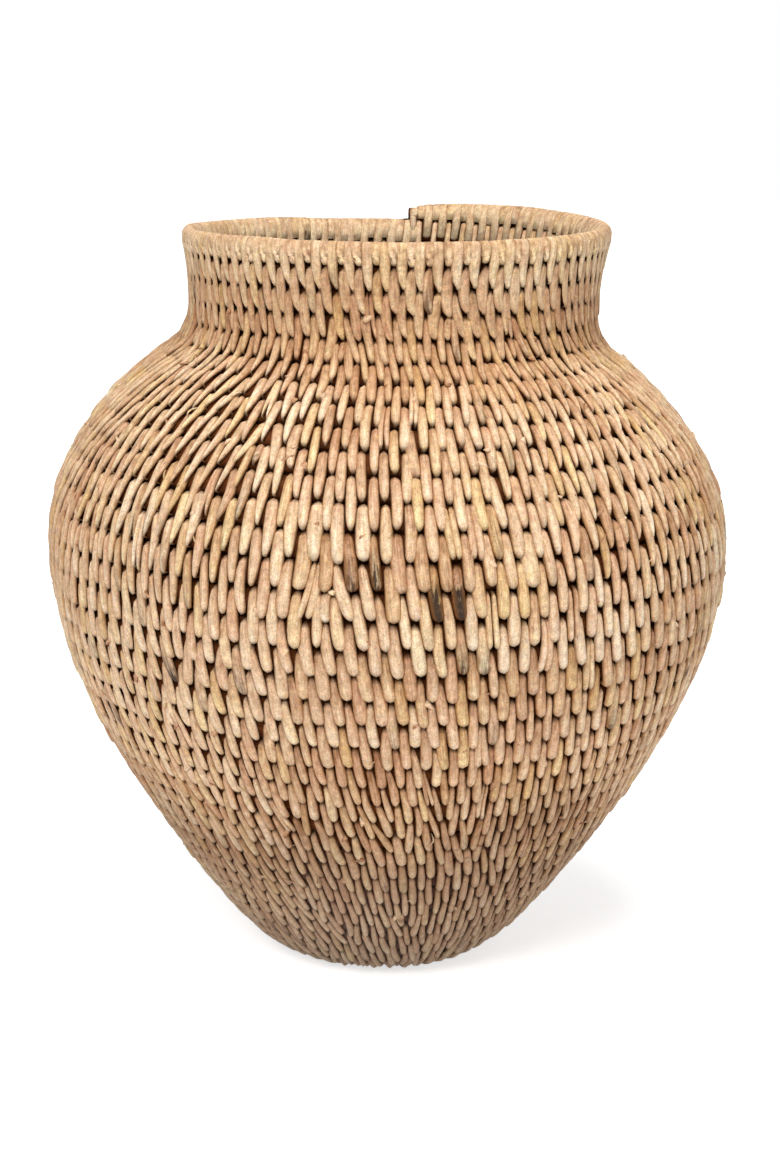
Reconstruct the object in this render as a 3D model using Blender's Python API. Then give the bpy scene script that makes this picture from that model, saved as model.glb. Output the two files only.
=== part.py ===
"""Coiled pot basket in plant fibre, about 36 cm wide and 40 cm high.

A foundation of rods is bent into one right-handed coil, which climbs from a small knot in the middle
of the base to the rim. Each turn is sewn to the one below. A new piece is spliced in wherever one
runs out, so the coil is a chain of pieces. Here each piece is one solid, its sewing taken as its
outer skin, and the last one ends bluntly on top of the rim, at the back.

The origin is the middle of the base on the surface the pot stands on, +Z is up and -Y is the front.
The wall's middle line is drawn in the half plane of radius and height. A place on the wall is given by
its distance along that line, its distance outwards from the line and its angle about the axis.
"""

import math
from bisect import bisect_right
from collections import namedtuple

import bpy
from mathutils import Matrix, Vector
from mathutils.geometry import interpolate_bezier

# Places on the wall's middle line, in metres: radii, and how far each place rises above the one below
WALL_THICKNESS = 0.011
BASE_EDGE_RADIUS = 0.044
LOWER_WALL_RADIUS = 0.1038
LOWER_WALL_RISE = 0.0561
BELLY_RADIUS = 0.1765
BELLY_RISE = 0.17
SHOULDER_RISE = 0.097
NECK_RADIUS = 0.1036
NECK_RISE = 0.0226
RIM_RISE = 0.0518

# How far the shoulder and the rim stand out beyond the neck
SHOULDER_LEDGE = 0.0118
RIM_FLARE = 0.0082

# Directions of that line, from straight outwards at the base through straight up at belly and neck
OUTWARDS = math.radians(0)
LOWER_WALL_SLOPE = math.radians(54)
UPWARDS = math.radians(90)
SHOULDER_SLOPE = math.radians(144)
RIM_SLOPE = math.radians(73)

# How far a curve keeps its direction beside a station, as a share of the distance to the next one
BASE_EDGE_SHARE = 0.22
HANDLE_SHARE = 0.34

# Height of one turn of the coil at each of those places
BASE_COIL_HEIGHT = 0.0094
LOWER_WALL_COIL_HEIGHT = 0.0106
BELLY_COIL_HEIGHT = 0.0141
SHOULDER_COIL_HEIGHT = 0.0133
NECK_COIL_HEIGHT = 0.0127
RIM_COIL_HEIGHT = 0.0122

# How many pieces of foundation, spliced end to end, run from one of those places up to the next
BASE_PIECES = 1
LOWER_WALL_PIECES = 3
BELLY_PIECES = 12
SHOULDER_PIECES = 7
NECK_PIECES = 2
RIM_PIECES = 3

# The coil's two ends
RIM_END_ANGLE = math.radians(86)
KNOT_RADIUS = 0.008
KNOT_EDGE = 0.0018
TIP_HEIGHT = 0.0018

# Clearances between neighbouring turns and between the ends of two pieces
TURN_GAP = 0.0005
SPLICE_GAP = 0.0003

# Section of the coil, as shares of its height and of the wall's thickness
OUTER_FLAT_SHARE = 0.46
SEAT_SHARE = 0.44

# Fineness: corners of a turn, corners of the knot and points on each curve of the wall's line
STEPS_PER_TURN = 24
KNOT_SIDES = 12
CURVE_POINTS = 80
SMOOTH_ANGLE = math.radians(62)

# Colours of the binding, from the dusty base through the bright belly to the neck and rim
BASE_COLOUR = (0.33, 0.27, 0.20)
LOWER_WALL_COLOUR = (0.45, 0.36, 0.25)
BELLY_COLOUR = (0.60, 0.48, 0.32)
SHOULDER_COLOUR = (0.56, 0.44, 0.29)
NECK_COLOUR = (0.47, 0.36, 0.23)
RIM_COLOUR = (0.58, 0.47, 0.32)
FIBRE_ROUGHNESS = 0.62
FIBRE_METALLIC = 0.0

Station = namedtuple("Station", "name radius height slope reach_share coil_height pieces colour")
Section = namedtuple("Section", "corners centre")


def wall_stations():
    """The places that the wall passes through, from the edge of the base up to the rim."""
    base_height = WALL_THICKNESS / 2
    lower_wall_height = base_height + LOWER_WALL_RISE
    belly_height = lower_wall_height + BELLY_RISE
    shoulder_height = belly_height + SHOULDER_RISE
    neck_height = shoulder_height + NECK_RISE
    rim_height = neck_height + RIM_RISE
    return (
        Station(
            "base",
            BASE_EDGE_RADIUS,
            base_height,
            OUTWARDS,
            BASE_EDGE_SHARE,
            BASE_COIL_HEIGHT,
            BASE_PIECES,
            BASE_COLOUR,
        ),
        Station(
            "lower_wall",
            LOWER_WALL_RADIUS,
            lower_wall_height,
            LOWER_WALL_SLOPE,
            HANDLE_SHARE,
            LOWER_WALL_COIL_HEIGHT,
            LOWER_WALL_PIECES,
            LOWER_WALL_COLOUR,
        ),
        Station(
            "belly",
            BELLY_RADIUS,
            belly_height,
            UPWARDS,
            HANDLE_SHARE,
            BELLY_COIL_HEIGHT,
            BELLY_PIECES,
            BELLY_COLOUR,
        ),
        Station(
            "shoulder",
            NECK_RADIUS + SHOULDER_LEDGE,
            shoulder_height,
            SHOULDER_SLOPE,
            HANDLE_SHARE,
            SHOULDER_COIL_HEIGHT,
            SHOULDER_PIECES,
            SHOULDER_COLOUR,
        ),
        Station(
            "neck",
            NECK_RADIUS,
            neck_height,
            UPWARDS,
            HANDLE_SHARE,
            NECK_COIL_HEIGHT,
            NECK_PIECES,
            NECK_COLOUR,
        ),
        Station(
            "rim",
            NECK_RADIUS + RIM_FLARE,
            rim_height,
            RIM_SLOPE,
            HANDLE_SHARE,
            RIM_COIL_HEIGHT,
            RIM_PIECES,
            RIM_COLOUR,
        ),
    )


def clear_scene():
    for thing in list(bpy.data.objects):
        bpy.data.objects.remove(thing, do_unlink=True)


def mix(first, second, share):
    return first + (second - first) * share


class WallLine:
    """The middle line of the wall, from the axis along the base and up to the rim."""

    def __init__(self, stations):
        self.stations = stations
        edge = self.place(stations[0])
        self.points = [Vector((0, 0, edge.z)), edge]
        self.station_lengths = [edge.x]
        for below, above in zip(stations, stations[1:]):
            self.points.extend(self.curve(below, above)[1:])
            self.station_lengths.append(self.measure()[-1])
        self.lengths = self.measure()
        self.normals = [self.normal_at(index) for index in range(len(self.points))]

    @staticmethod
    def place(station):
        return Vector((station.radius, 0, station.height))

    @staticmethod
    def curve(below, above):
        start, end = WallLine.place(below), WallLine.place(above)
        chord = (end - start).length
        leaving = Vector((math.cos(below.slope), 0, math.sin(below.slope)))
        arriving = Vector((math.cos(above.slope), 0, math.sin(above.slope)))
        start_handle = start + leaving * chord * below.reach_share
        end_handle = end - arriving * chord * above.reach_share
        return interpolate_bezier(start, start_handle, end_handle, end, CURVE_POINTS)

    def measure(self):
        lengths = [0]
        for before, after in zip(self.points, self.points[1:]):
            lengths.append(lengths[-1] + (after - before).length)
        return lengths

    def normal_at(self, index):
        before = self.points[max(index - 1, 0)]
        after = self.points[min(index + 1, len(self.points) - 1)]
        way = (after - before).normalized()
        return Vector((way.z, 0, -way.x))

    def at(self, length, outwards):
        """The point at this length along the line and this far outside it."""
        index = min(bisect_right(self.lengths, length), len(self.lengths) - 1)
        start, end = self.lengths[index - 1], self.lengths[index]
        share = (length - start) / (end - start)
        point = self.points[index - 1].lerp(self.points[index], share)
        normal = self.normals[index - 1].lerp(self.normals[index], share).normalized()
        return point + normal * outwards

    def between_stations(self, length):
        """The stations below and above this length, and how far it is from the one to the other."""
        above = min(max(bisect_right(self.station_lengths, length), 1), len(self.stations) - 1)
        start, end = self.station_lengths[above - 1], self.station_lengths[above]
        share = min(max((length - start) / (end - start), 0), 1)
        return self.stations[above - 1], self.stations[above], share

    def coil_height(self, length):
        below, above, share = self.between_stations(length)
        return mix(below.coil_height, above.coil_height, share)

    def colour(self, length):
        below, above, share = self.between_stations(length)
        return [mix(low, high, share) for low, high in zip(below.colour, above.colour)]


def coil_borders(line):
    """How far up the wall line the coil's upper border lies at each step, from the tip to the rim."""
    borders = [line.lengths[-1]]
    while borders[-1] > KNOT_RADIUS + TIP_HEIGHT:
        borders.append(borders[-1] - line.coil_height(borders[-1]) / STEPS_PER_TURN)
    borders[-1] = KNOT_RADIUS + TIP_HEIGHT
    borders.reverse()
    return borders


def coil_section(line, borders, step):
    """The seven corners of the coil at this step, and its centre. It seats on the turn below."""
    lower = borders[step - STEPS_PER_TURN] if step >= STEPS_PER_TURN else KNOT_RADIUS
    bottom = lower + TURN_GAP / 2
    top = borders[step] - TURN_GAP / 2
    middle = (bottom + top) / 2
    flat = (top - bottom) / 2 * OUTER_FLAT_SHARE
    seat = WALL_THICKNESS / 2 * SEAT_SHARE
    outside = WALL_THICKNESS / 2
    outline = (
        (bottom, seat),
        (bottom, -seat),
        (middle, -outside),
        (top, -seat),
        (top, seat),
        (middle + flat, outside),
        (middle - flat, outside),
    )
    steps_to_end = len(borders) - 1 - step
    angle = RIM_END_ANGLE - steps_to_end * math.tau / STEPS_PER_TURN
    turn = Matrix.Rotation(angle, 3, "Z")
    corners = [turn @ line.at(length, outwards) for length, outwards in outline]
    return Section(corners, turn @ line.at(middle, 0))


def drawn_in(section, neighbour):
    """This section moved half a splice gap towards its neighbour, along the faces between them."""
    share = SPLICE_GAP / 2 / (neighbour.centre - section.centre).length
    corners = [corner.lerp(other, share) for corner, other in zip(section.corners, neighbour.corners)]
    return Section(corners, section.centre.lerp(neighbour.centre, share))


def splice_steps(line, borders, sections):
    """First step, last step and name of each piece of foundation. The pieces of a span run equally far."""
    runs = [0]
    for before, after in zip(sections, sections[1:]):
        runs.append(runs[-1] + (after.centre - before.centre).length)
    splices = []
    start = 0
    for station, top in zip(line.stations, line.station_lengths):
        end = min(bisect_right(borders, top), len(borders) - 1)
        for piece in range(station.pieces):
            run = mix(runs[start], runs[end], (piece + 1) / station.pieces)
            last = end if piece + 1 == station.pieces else bisect_right(runs, run)
            first = splices[-1][1] if splices else 0
            splices.append((first, last, f"{station.name}_coil_{piece + 1:02d}"))
        start = end
    return splices


def fibre_material(name, colour):
    material = bpy.data.materials.new(name)
    material.use_nodes = True
    shader = material.node_tree.nodes["Principled BSDF"]
    shader.inputs["Base Color"].default_value = (*colour, 1)
    shader.inputs["Roughness"].default_value = FIBRE_ROUGHNESS
    shader.inputs["Metallic"].default_value = FIBRE_METALLIC
    return material


def add_loft(name, rings, colour):
    """One closed solid through rings of corners, each ring as many corners as the next."""
    count = len(rings[0])
    corners = [corner for ring in rings for corner in ring]
    faces = [tuple(range(count))[::-1]]
    for start in range(0, len(corners) - count, count):
        for side in range(count):
            after = (side + 1) % count
            faces.append((start + side, start + after, start + count + after, start + count + side))
    faces.append(tuple(range(len(corners) - count, len(corners))))
    mesh = bpy.data.meshes.new(name)
    mesh.from_pydata(corners, [], faces)
    mesh.shade_smooth()
    mesh.set_sharp_from_angle(angle=SMOOTH_ANGLE)
    mesh.materials.append(fibre_material(name + "_fibre", colour))
    thing = bpy.data.objects.new(name, mesh)
    bpy.context.scene.collection.objects.link(thing)
    return thing


def add_start_knot():
    """The round knot that the first turn is bent about, as thick as the wall, its edges rounded off."""
    rim_radius = KNOT_RADIUS - TURN_GAP / 2
    levels = (
        (0, rim_radius - KNOT_EDGE),
        (KNOT_EDGE, rim_radius),
        (WALL_THICKNESS - KNOT_EDGE, rim_radius),
        (WALL_THICKNESS, rim_radius - KNOT_EDGE),
    )
    rings = []
    for height, radius in levels:
        ring = []
        for side in range(KNOT_SIDES):
            angle = side * math.tau / KNOT_SIDES
            ring.append(Vector((radius * math.cos(angle), radius * math.sin(angle), height)))
        rings.append(ring)
    add_loft("start_knot", rings, BASE_COLOUR)


def add_coil(line):
    """The whole coil, one solid for each piece of foundation, named by its place on the pot."""
    borders = coil_borders(line)
    sections = [coil_section(line, borders, step) for step in range(len(borders))]
    splices = splice_steps(line, borders, sections)
    for start, end, name in splices:
        first = drawn_in(sections[start], sections[start + 1])
        last = drawn_in(sections[end], sections[end - 1])
        rings = [first.corners]
        rings.extend(section.corners for section in sections[start + 1 : end])
        rings.append(last.corners)
        add_loft(name, rings, line.colour((borders[start] + borders[end]) / 2))
    return sections, splices


def report_sizes(line, sections, splices):
    """Prints the turns, the run of each piece and the least gap between neighbouring turns."""
    gaps = []
    for lower, upper in zip(sections, sections[STEPS_PER_TURN:]):
        gaps.append((upper.corners[0] - lower.corners[4]).length)
        gaps.append((upper.corners[1] - lower.corners[3]).length)
    least = min(gaps) * math.cos(math.pi / STEPS_PER_TURN)
    print(f"turns {(len(sections) - 1) / STEPS_PER_TURN:.2f}, wall line {line.lengths[-1]:.4f} m")
    for start, end, name in splices:
        centres = [section.centre for section in sections[start : end + 1]]
        run = sum((after - before).length for before, after in zip(centres, centres[1:]))
        print(f"{name}: {run:.3f} m, {(end - start) / STEPS_PER_TURN:.2f} turns")
    print(f"least gap between turns {least * 1000:.3f} mm")


def main():
    clear_scene()
    line = WallLine(wall_stations())
    add_start_knot()
    sections, splices = add_coil(line)
    report_sizes(line, sections, splices)


main()
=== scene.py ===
"""Coiled pot basket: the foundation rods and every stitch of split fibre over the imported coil.

The wall's middle line and the coil's borders follow the same rule as the solids. A place on the wall is
given by its angle about the axis, its length along the wall's line and its distance outwards from it,
and one node group sets every rod, stitch and loose end on the wall by these three.
Sizes are in metres and angles in radians. +Z is up and -Y is the front.
"""

import math
import random
from bisect import bisect_right
from collections import namedtuple

import bpy
from mathutils import Matrix, Vector, noise
from mathutils.geometry import interpolate_bezier


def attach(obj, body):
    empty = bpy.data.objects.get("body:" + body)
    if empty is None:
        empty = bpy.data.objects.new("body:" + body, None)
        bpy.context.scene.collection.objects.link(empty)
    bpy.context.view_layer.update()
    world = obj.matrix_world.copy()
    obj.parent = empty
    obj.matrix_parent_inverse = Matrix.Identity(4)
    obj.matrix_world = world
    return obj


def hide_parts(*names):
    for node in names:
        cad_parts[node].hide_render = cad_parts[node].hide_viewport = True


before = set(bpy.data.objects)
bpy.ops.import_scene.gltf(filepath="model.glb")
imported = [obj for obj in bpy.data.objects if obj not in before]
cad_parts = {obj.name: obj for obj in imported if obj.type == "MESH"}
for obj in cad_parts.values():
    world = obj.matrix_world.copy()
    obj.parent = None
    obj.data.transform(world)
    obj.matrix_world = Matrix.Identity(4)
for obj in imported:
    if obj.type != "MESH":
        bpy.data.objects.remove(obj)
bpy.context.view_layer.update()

# Stations of the wall's middle line, as in the solids, with the height of the coil there and the number
# of lengths spliced below them
WALL_THICKNESS = 0.011
KNOT_RADIUS = 0.008
TIP_HEIGHT = 0.0018
RIM_END_ANGLE = math.radians(86)
STEPS_PER_TURN = 24
CURVE_POINTS = 80
ABOVE_RIM = 0.03

Station = namedtuple("Station", "name radius height slope reach_share coil_height pieces")
STATIONS = (
    Station("base", 0.0440, 0.0055, math.radians(0), 0.22, 0.0094, 1),
    Station("lower_wall", 0.1038, 0.0616, math.radians(54), 0.34, 0.0106, 3),
    Station("belly", 0.1765, 0.2316, math.radians(90), 0.34, 0.0141, 12),
    Station("shoulder", 0.1154, 0.3286, math.radians(144), 0.34, 0.0133, 7),
    Station("neck", 0.1036, 0.3512, math.radians(90), 0.34, 0.0127, 2),
    Station("rim", 0.1118, 0.4030, math.radians(73), 0.34, 0.0122, 3),
)

BELLY_RADIUS = STATIONS[2].radius

# Rods of the foundation inside the sewing
RODS_HALF_THICKNESS = 0.0028
RODS_SEAM = -0.0004
RODS_AROUND = 7
RODS_SIDES = 28
ROD_GROOVE = 0.13
RODS_STEP_SHARE = 0.5
LEAST_HALF_HEIGHT = 0.0003
LEAST_RADIUS = 0.0006

# Strips of the sewing
STRIP_THICKNESS = 0.0019
FLAT_THICKNESS = 0.0015
KNOT_STITCHES = 14
KNOT_SIDES = 24
FIRST_STITCHES = 14
RIM_FILL = 1.5
END_WRAP_STEPS = 0.15
FOOT_GAP = 0.0015
OPEN_FOOT_GAP = 0.0027
HEAD_GAP = 0.0008
ENDS_ASIDE = 0.05
WIDEST_STRIP = 0.0092
NECK_FROM = 0.44
RIM_END_DIP = 0.0030
SETTLE_ROUNDS = 4
COIL_END_DIP = 0.0045
COIL_END_REACH = 2.4

# Patches of the wall: middle angle, reach to each side, middle length along the wall, reach up and down
Patch = namedtuple("Patch", "angle reach length half_height")

# Front of the belly, where the strips leave the foundation open below their feet
OPEN_PATCH = Patch(math.radians(-70), math.radians(56), 0.268, 0.095)
OPEN_FILL = 1.31

# Lower left of the belly, where the strips are broad and close the wall but for one small hole each
CLOSE_PATCH = Patch(math.radians(-128), math.radians(42), 0.245, 0.070)

# Left of the shoulder, where shorter strips that narrow to the foot leave wedge-shaped holes
WEDGE_PATCH = Patch(math.radians(-130), math.radians(46), 0.400, 0.060)
WEDGE_NARROWING = 0.10
WEDGE_GAP = 0.0012
WEDGE_TAPER = 0.14

# Front, at any height, where the feet above the belly run out to a point less than elsewhere
BLUNT_SIDE = Patch(math.radians(-85), math.radians(38), 0, 1)

# Right side, at any height, where narrower strips leave slots beside them
SLOT_SIDE = Patch(math.radians(-8), math.radians(62), 0, 1)
SLOT_NARROWING = 0.11

# The floor touches the lowest stitches, which pass under the base
FLOOR_HEIGHT = -0.001

# Stitches that differ from the rest: angle in degrees, length of the foot, breadth, tone, stain
ODD_STITCHES = (
    (-77.2, 0.3105, 0.95, -1.3, 3.2), (-81.2, 0.3110, 1.00, -1.0, 2.2), (-93.0, 0.3220, 0.90, -0.9, 1.3),
    (-78.2, 0.2800, 1.00, -0.3, 0.6), (-66.4, 0.3220, 1.50, 0.4, 0.0), (-56.9, 0.3300, 1.35, -0.9, 0.2),
    (-46.0, 0.3100, 1.30, 0.6, 0.0),
)

# Spots of browner strips: angle in degrees, length along the wall, reach
BROWN_SPOTS = (
    (-85.7, 0.321, 0.020), (-97.6, 0.383, 0.012), (-78.6, 0.392, 0.012), (-96.2, 0.320, 0.012),
    (-50.0, 0.335, 0.022), (-69.0, 0.348, 0.010),
)

# Handwork: how far the wall strays from its even shape, how often, and the height where this is full
UNEVEN_DISTANCE = 0.0011
UNEVEN_SCALE = 16.0
UNEVEN_FROM = 0.05

# Stitches in one turn, by length along the wall from the middle of the base
STITCHES_PER_TURN = (
    (0.008, 14), (0.020, 22), (0.044, 37), (0.058, 43), (0.080, 61), (0.128, 79), (0.190, 87),
    (0.200, 105), (0.362, 105), (0.400, 98), (0.430, 95), (0.465, 83), (0.514, 83),
)

# How far the head of a stitch lies behind its foot, as a share of the space between stitches
STITCH_LEAN = (
    (0.000, 0.00), (0.060, 0.22), (0.100, 0.38), (0.135, 0.38), (0.200, 0.40), (0.260, 0.30),
    (0.330, 0.26), (0.380, 0.10), (0.425, -0.10), (0.445, 0.02), (0.462, 0.40), (0.490, 0.40),
    (0.504, 0.15), (0.514, 0.00),
)

# The strips by length along the wall: their breadth, where 1 just closes the wall, how closely they lie,
# how much their feet and heads narrow, and how far their feet run out to a point
STRIP_FILL = (
    (0.000, 1.10), (0.060, 1.08), (0.085, 1.01), (0.150, 1.00), (0.190, 1.06), (0.230, 1.20),
    (0.330, 1.30), (0.420, 1.31), (0.450, 1.30), (0.514, 1.28),
)
CLOSENESS = (
    (0.000, 0.0), (0.430, 0.0), (0.465, 1.0), (0.514, 1.0),
)
FOOT_TAPER = (
    (0.000, 0.30), (0.060, 0.22), (0.085, 0.18), (0.190, 0.16), (0.300, 0.16), (0.350, 0.26),
    (0.440, 0.26), (0.460, 0.55), (0.514, 0.50),
)
HEAD_TAPER = (
    (0.000, 0.20), (0.085, 0.30), (0.190, 0.34), (0.300, 0.34), (0.345, 0.14), (0.430, 0.12),
    (0.446, 0.18), (0.462, 0.60), (0.514, 0.55),
)
POINTEDNESS = (
    (0.290, 0.0), (0.335, 0.9), (0.420, 1.0), (0.450, 0.3), (0.460, 0.0),
)

SEED = 7

# Fewest and most stitches that one strip is good for
STITCHES_PER_STRIP = (9, 22)

# How widely the values of the stitches are spread by hand
SPREAD = {
    "breadth": 0.07, "lean": 0.045, "foot": 0.04, "head": 0.03, "thickness": 0.08, "narrowing": 0.07,
    "skew": 0.2, "proud": 0.00025, "bow": 0.05, "tone": 0.36, "hue": 0.55, "stain": 0.42,
}

# Skew and proudness of plain strips, and how the strips of open, close and pointed places differ
SKEW, PROUD = 0.3, 0.0001
OPEN_TAPER, OPEN_POINT, OPEN_SKEW, OPEN_PROUD = 0.05, 0.28, 0.0, 0.0008
CLOSE_POINT, CLOSE_SKEW = 0.80, 0.9
POINTED_TAPER, POINTED_SKEW = 0.82, -0.95
BROWN_CHANGE = 0.7

# Chances of a stitch that leans or stands proud, and by how much: a share of its space, and metres
LEANING, LEANS_BY = 0.04, 0.16
STANDING_PROUD, STANDS_PROUD_BY = 0.03, 0.0009

# Chances of a stitch that is split lengthwise or has a loose end beside it, from this turn upwards
SPLIT, LOOSE = 0.025, 0.075
LOOSE_FROM_TURN = 12


def mix(first, second, share):
    return first + (second - first) * share


def clamp(value, low=0, high=1):
    return min(max(value, low), high)


def heading(slope):
    return Vector((math.cos(slope), 0, math.sin(slope)))


def turned_by(first, second):
    """The angle from the second direction to the first, half a turn at most either way."""
    return (first - second + math.pi) % math.tau - math.pi


def read_table(table, place):
    """The value at this place in a table of places and values, straight between its rows."""
    places = [row[0] for row in table]
    above = clamp(bisect_right(places, place), 1, len(table) - 1)
    (start, low), (end, high) = table[above - 1], table[above]
    return mix(low, high, clamp((place - start) / (end - start)))


def lengths_along(points):
    """How far each point lies along the line that runs through them all."""
    lengths = [0]
    for before, after in zip(points, points[1:]):
        lengths.append(lengths[-1] + (after - before).length)
    return lengths


# Wall and coil


class WallLine:
    """The middle line of the wall, from the axis along the base, up to the rim and straight on above it."""

    def __init__(self):
        edge = self.place(STATIONS[0])
        self.points = [Vector((0, 0, edge.z)), edge]
        self.station_lengths = [edge.x]
        for below, above in zip(STATIONS, STATIONS[1:]):
            self.points.extend(self.curve(below, above)[1:])
            self.station_lengths.append(lengths_along(self.points)[-1])
        self.rim_length = self.station_lengths[-1]
        heights = (station.coil_height for station in STATIONS)
        self.coil_heights = list(zip(self.station_lengths, heights))
        self.points.append(self.points[-1] + heading(STATIONS[-1].slope) * ABOVE_RIM)
        self.lengths = lengths_along(self.points)

    @staticmethod
    def place(station):
        return Vector((station.radius, 0, station.height))

    @staticmethod
    def curve(below, above):
        start, end = WallLine.place(below), WallLine.place(above)
        chord = (end - start).length
        start_handle = start + heading(below.slope) * chord * below.reach_share
        end_handle = end - heading(above.slope) * chord * above.reach_share
        return interpolate_bezier(start, start_handle, end_handle, end, CURVE_POINTS)

    def at(self, length):
        index = min(bisect_right(self.lengths, length), len(self.lengths) - 1)
        start, end = self.lengths[index - 1], self.lengths[index]
        return self.points[index - 1].lerp(self.points[index], (length - start) / (end - start))

    def guide(self):
        """The line as a curve object, which the node trees sample. It is removed at the end."""
        curve = bpy.data.curves.new("wall_line", "CURVE")
        curve.dimensions = "3D"
        spline = curve.splines.new("POLY")
        spline.points.add(len(self.points) - 1)
        for point, place in zip(spline.points, self.points):
            point.co = (*place, 1)
        guide = bpy.data.objects.new("wall_line", curve)
        bpy.context.scene.collection.objects.link(guide)
        return guide


class Coil:
    """The foundation's one spiral. A place along it is a number of steps from its tip, 24 to a turn."""

    def __init__(self, wall):
        self.wall = wall
        borders = [wall.rim_length]
        while borders[-1] > KNOT_RADIUS + TIP_HEIGHT:
            height = read_table(wall.coil_heights, borders[-1])
            borders.append(borders[-1] - height / STEPS_PER_TURN)
        borders[-1] = KNOT_RADIUS + TIP_HEIGHT
        borders.reverse()
        self.borders = borders
        self.last = len(borders) - 1

    def border(self, step):
        """Length along the wall of the coil's upper border here, or the knot's edge before the tip."""
        if step < 0:
            return KNOT_RADIUS
        whole = min(int(step), self.last - 1)
        near_end = max((step - self.last) / COIL_END_REACH + 1, 0)
        dip = COIL_END_DIP * near_end * near_end
        return mix(self.borders[whole], self.borders[whole + 1], step - whole) - dip

    def angle(self, step):
        return RIM_END_ANGLE - (self.last - step) * math.tau / STEPS_PER_TURN

    def middle(self, step):
        return (self.border(step) + self.border(step - STEPS_PER_TURN)) / 2

    def centre(self, step):
        return Matrix.Rotation(self.angle(step), 3, "Z") @ self.wall.at(self.middle(step))

    def pitch(self, step):
        """Steps from one stitch to the next in the same row."""
        return STEPS_PER_TURN / read_table(STITCHES_PER_TURN, self.border(step - STEPS_PER_TURN))

    def space(self, step):
        """Metres from one stitch to the next in the same row, at the border that the stitch bridges."""
        radius = self.wall.at(self.border(step - STEPS_PER_TURN)).x
        return self.pitch(step) * math.tau / STEPS_PER_TURN * radius

    def spliced_lengths(self):
        """First step, last step and node name of each length of foundation."""
        runs = lengths_along([self.centre(step) for step in range(self.last + 1)])
        found = []
        start = 0
        for station, top in zip(STATIONS, self.wall.station_lengths):
            end = min(bisect_right(self.borders, top), self.last)
            for piece in range(station.pieces):
                run = mix(runs[start], runs[end], (piece + 1) / station.pieces)
                final = end if piece + 1 == station.pieces else bisect_right(runs, run)
                first = found[-1][1] if found else 0
                found.append((first, final, f"{station.name}_coil_{piece + 1:02d}"))
            start = end
        return found


# Plan of the sewing


class Stitch:
    """One stitch: the steps of its foot and head, and the values that shape and colour it."""

    def __init__(self, foot_step, kind="wall", turns=2):
        self.first_foot_step = self.foot_step = self.head_step = foot_step
        self.kind = kind
        self.turns = turns
        self.share_of_gap = 0.5
        self.below = self.left_above = self.right_above = None
        self.values = {}

    def crossing(self):
        return (self.foot_step + self.head_step) / 2

    def at(self, share):
        """Step at this share of the way from foot to head, counted as for a stitch over two turns."""
        return mix(self.foot_step, self.head_step, share) + (2 - self.turns) * STEPS_PER_TURN

    def rooms(self):
        """Steps left for this stitch between its neighbours, in its lower and its upper half."""
        found = []
        if self.below:
            left, right = self.below
            parts = 2 if self.share_of_gap == 0.5 else 3
            found.append((right.at(0.75) - left.at(0.75)) / parts)
        if self.left_above and self.right_above:
            found.append((self.right_above.at(0.25) - self.left_above.at(0.25)) / 2)
        return found

    def settle(self):
        """Moves halfway to the middle between the neighbours, in the lower and in the upper half."""
        low, high = self.at(0.25), self.at(0.75)
        if self.below:
            left, right = self.below
            middle = mix(left.at(0.75), right.at(0.75), self.share_of_gap) + STEPS_PER_TURN
            low = mix(low, middle, 0.5)
            if self.turns == 1:
                high = low
        if self.left_above and self.right_above:
            middle = (self.left_above.at(0.25) + self.right_above.at(0.25)) / 2 - STEPS_PER_TURN
            high = mix(high, middle, 0.5)
        back = (2 - self.turns) * STEPS_PER_TURN
        self.foot_step = low - (high - low) / 2 - back
        self.head_step = high + (high - low) / 2 - back


def level_heads(stitches, coil, settled):
    """Spaces the heads evenly, for every stitch that has its neighbours on both sides already."""
    weights = (1, 2, 3, 4, 5, 4, 3, 2, 1)
    half = len(weights) // 2
    while settled + half < len(stitches):
        stitch = stitches[settled]
        if settled >= half:
            near = stitches[settled - half : settled + half + 1]
            level = sum(weight * other.first_foot_step for weight, other in zip(weights, near))
            level /= sum(weights)
            lean = read_table(STITCH_LEAN, coil.border(level)) * coil.pitch(level)
            stitch.head_step = level - lean
            stitch.foot_step = mix(stitch.foot_step, level, 0.5)
        settled += 1
    return settled


def plan_sewing(coil, chance):
    """Every stitch that takes in two turns, in the order of sewing. A foot goes in the gap between two
    stitches of the row below. Where gaps grow wide one takes two feet. Where they get narrow one is
    passed over, and a short stitch that takes in one turn closes it."""
    stitches = [Stitch(STEPS_PER_TURN * number / FIRST_STITCHES) for number in range(FIRST_STITCHES)]
    settled = level_heads(stitches, coil, 0)
    short = []
    owed = 0
    gap = 0
    while True:
        left, right = stitches[gap], stitches[gap + 1]
        wide = right.crossing() - left.crossing()
        middle = left.crossing() + wide / 2 + STEPS_PER_TURN
        if middle > coil.last - coil.pitch(coil.last) / 3:
            break
        owed += wide / coil.pitch(middle) - 1
        limit = chance.uniform(1.0, 1.4)
        shares = [0.5]
        if owed > limit:
            shares = [0.27, 0.73]
            owed -= 1
        elif owed < -limit:
            shares = []
            owed += 1
        placed = []
        for share in shares:
            stitch = Stitch(middle + wide * (share - 0.5) + chance.gauss(0, 0.022) * wide)
            stitch.share_of_gap = share
            placed.append(stitch)
        stitches += placed
        if not placed:
            placed = [Stitch(middle - STEPS_PER_TURN, turns=1)]
            short += placed
        for stitch in placed:
            stitch.below = (left, right)
        left.right_above, right.left_above = placed[0], placed[-1]
        settled = level_heads(stitches, coil, settled)
        gap += 1
    for _ in range(SETTLE_ROUNDS):
        for stitch in stitches + short:
            stitch.settle()
    for stitch in stitches:
        if stitch.foot_step > coil.last - STEPS_PER_TURN:
            stitch.kind = "rim_long"
            stitch.head_step = max(stitch.head_step, coil.last - STEPS_PER_TURN)
    return stitches, short


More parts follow.
